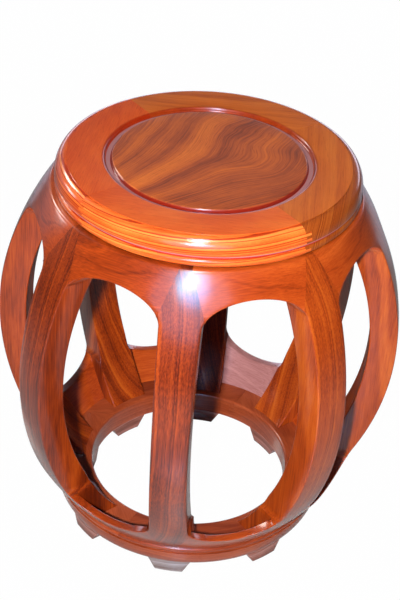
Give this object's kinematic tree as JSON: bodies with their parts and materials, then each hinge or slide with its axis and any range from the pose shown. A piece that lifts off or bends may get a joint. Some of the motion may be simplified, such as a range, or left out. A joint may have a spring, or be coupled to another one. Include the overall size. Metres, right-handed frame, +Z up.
{
  "type": "drum stool",
  "caption": "Round drum-shaped wooden stool with bowed legs, arched aprons, a framed seat panel and a footed base ring.",
  "frame": {"origin": "centre of the footprint on the floor, at the bottom of the stool's box", "axes": "+Z up along the stool's round axis; one leg is centred on -Y, which is the front"},
  "size_m": [0.453, 0.453, 0.46],
  "materials": {
    "frame_wood": "glossy lacquer, orange red",
    "panel_wood": "glossy lacquer, dark and figured",
    "batten_wood": "plain, oiled",
    "leg_wood": "glossy lacquer, red brown",
    "upper_apron_wood": "glossy lacquer, orange red",
    "lower_apron_wood": "glossy lacquer, red brown",
    "ring_wood": "glossy lacquer, red brown",
    "foot_wood": "satin lacquer, brown"
  },
  "bodies": {
    "root": {"seat_frame_front": "frame_wood", "seat_frame_right": "frame_wood", "seat_frame_back": "frame_wood", "seat_frame_left": "frame_wood", "seat_panel": "panel_wood", "panel_batten_right": "batten_wood", "panel_batten_left": "batten_wood", "leg_1": "leg_wood", "leg_2": "leg_wood", "leg_3": "leg_wood", "leg_4": "leg_wood", "leg_5": "leg_wood", "leg_6": "leg_wood", "leg_7": "leg_wood", "leg_8": "leg_wood", "upper_apron_1": "upper_apron_wood", "upper_apron_2": "upper_apron_wood", "upper_apron_3": "upper_apron_wood", "upper_apron_4": "upper_apron_wood", "upper_apron_5": "upper_apron_wood", "upper_apron_6": "upper_apron_wood", "upper_apron_7": "upper_apron_wood", "upper_apron_8": "upper_apron_wood", "lower_apron_1": "lower_apron_wood", "lower_apron_2": "lower_apron_wood", "lower_apron_3": "lower_apron_wood", "lower_apron_4": "lower_apron_wood", "lower_apron_5": "lower_apron_wood", "lower_apron_6": "lower_apron_wood", "lower_apron_7": "lower_apron_wood", "lower_apron_8": "lower_apron_wood", "base_ring_1": "ring_wood", "base_ring_2": "ring_wood", "base_ring_3": "ring_wood", "base_ring_4": "ring_wood", "foot_1": "foot_wood", "foot_2": "foot_wood", "foot_3": "foot_wood", "foot_4": "foot_wood", "foot_5": "foot_wood", "foot_6": "foot_wood", "foot_7": "foot_wood", "foot_8": "foot_wood"}
  },
  "joints": []
}
